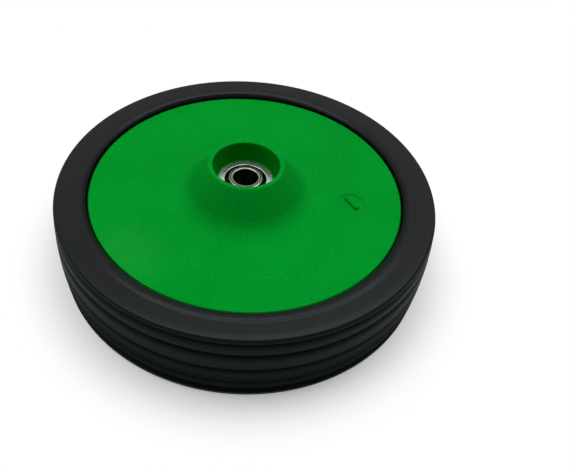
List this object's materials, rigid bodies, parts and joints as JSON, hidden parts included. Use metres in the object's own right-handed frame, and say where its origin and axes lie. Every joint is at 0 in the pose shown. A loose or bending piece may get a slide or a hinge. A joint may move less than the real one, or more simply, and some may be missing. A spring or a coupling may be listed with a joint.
{
  "type": "lawn mower wheel",
  "caption": "Ribbed rubber tyre on a one-piece moulded hub with a raised boss, turning on two flanged ball bearings for a 12.7 mm axle.",
  "frame": {"origin": "on the wheel's axis, in the plane that the tyre's back side rests on", "axes": "+Z along the axis from the open back towards the boss; the wheel lies on its back side, and +X points to the right of the picture"},
  "size_m": [0.1998, 0.1998, 0.058],
  "materials": {
    "tyre_rubber": "matt black moulded rubber",
    "hub_plastic": "satin green moulded polypropylene",
    "cup_steel": "bare drawn steel, oiled",
    "flange_zinc": "bright zinc plate",
    "race_steel": "turned and hardened steel",
    "ball_steel": "polished steel"
  },
  "bodies": {
    "wheel": {"tyre": "tyre_rubber", "wheel_hub": "hub_plastic", "front_bearing_cup": "cup_steel", "front_bearing_flange": "flange_zinc", "back_bearing_cup": "cup_steel", "back_bearing_flange": "flange_zinc"},
    "front_race": {"front_inner_race": "race_steel"},
    "front_balls": {"front_ball_01": "ball_steel", "front_ball_02": "ball_steel", "front_ball_03": "ball_steel", "front_ball_04": "ball_steel", "front_ball_05": "ball_steel", "front_ball_06": "ball_steel", "front_ball_07": "ball_steel", "front_ball_08": "ball_steel", "front_ball_09": "ball_steel", "front_ball_10": "ball_steel", "front_ball_11": "ball_steel", "front_ball_12": "ball_steel", "front_ball_13": "ball_steel", "front_ball_14": "ball_steel", "front_ball_15": "ball_steel"},
    "back_race": {"back_inner_race": "race_steel"},
    "back_balls": {"back_ball_01": "ball_steel", "back_ball_02": "ball_steel", "back_ball_03": "ball_steel", "back_ball_04": "ball_steel", "back_ball_05": "ball_steel", "back_ball_06": "ball_steel", "back_ball_07": "ball_steel", "back_ball_08": "ball_steel", "back_ball_09": "ball_steel", "back_ball_10": "ball_steel", "back_ball_11": "ball_steel", "back_ball_12": "ball_steel", "back_ball_13": "ball_steel", "back_ball_14": "ball_steel", "back_ball_15": "ball_steel"}
  },
  "joints": [
    {"name": "front_race_spin", "type": "hinge", "parent": "wheel", "child": "front_race", "pos_m": [0, 0, 0.04355], "axis": [0, 0, 1], "continuous": true},
    {"name": "back_race_spin", "type": "hinge", "parent": "wheel", "child": "back_race", "pos_m": [0, 0, 0.006], "axis": [0, 0, 1], "continuous": true},
    {"name": "front_balls_orbit", "type": "hinge", "parent": "wheel", "child": "front_balls", "pos_m": [0, 0, 0.04355], "axis": [0, 0, 1], "continuous": true},
    {"name": "back_balls_orbit", "type": "hinge", "parent": "wheel", "child": "back_balls", "pos_m": [0, 0, 0.006], "axis": [0, 0, 1], "continuous": true}
  ],
  "couplings": [
    {"joint": "front_balls_orbit", "follows": "front_race_spin", "ratio": 0.3973},
    {"joint": "back_balls_orbit", "follows": "back_race_spin", "ratio": 0.3973}
  ]
}
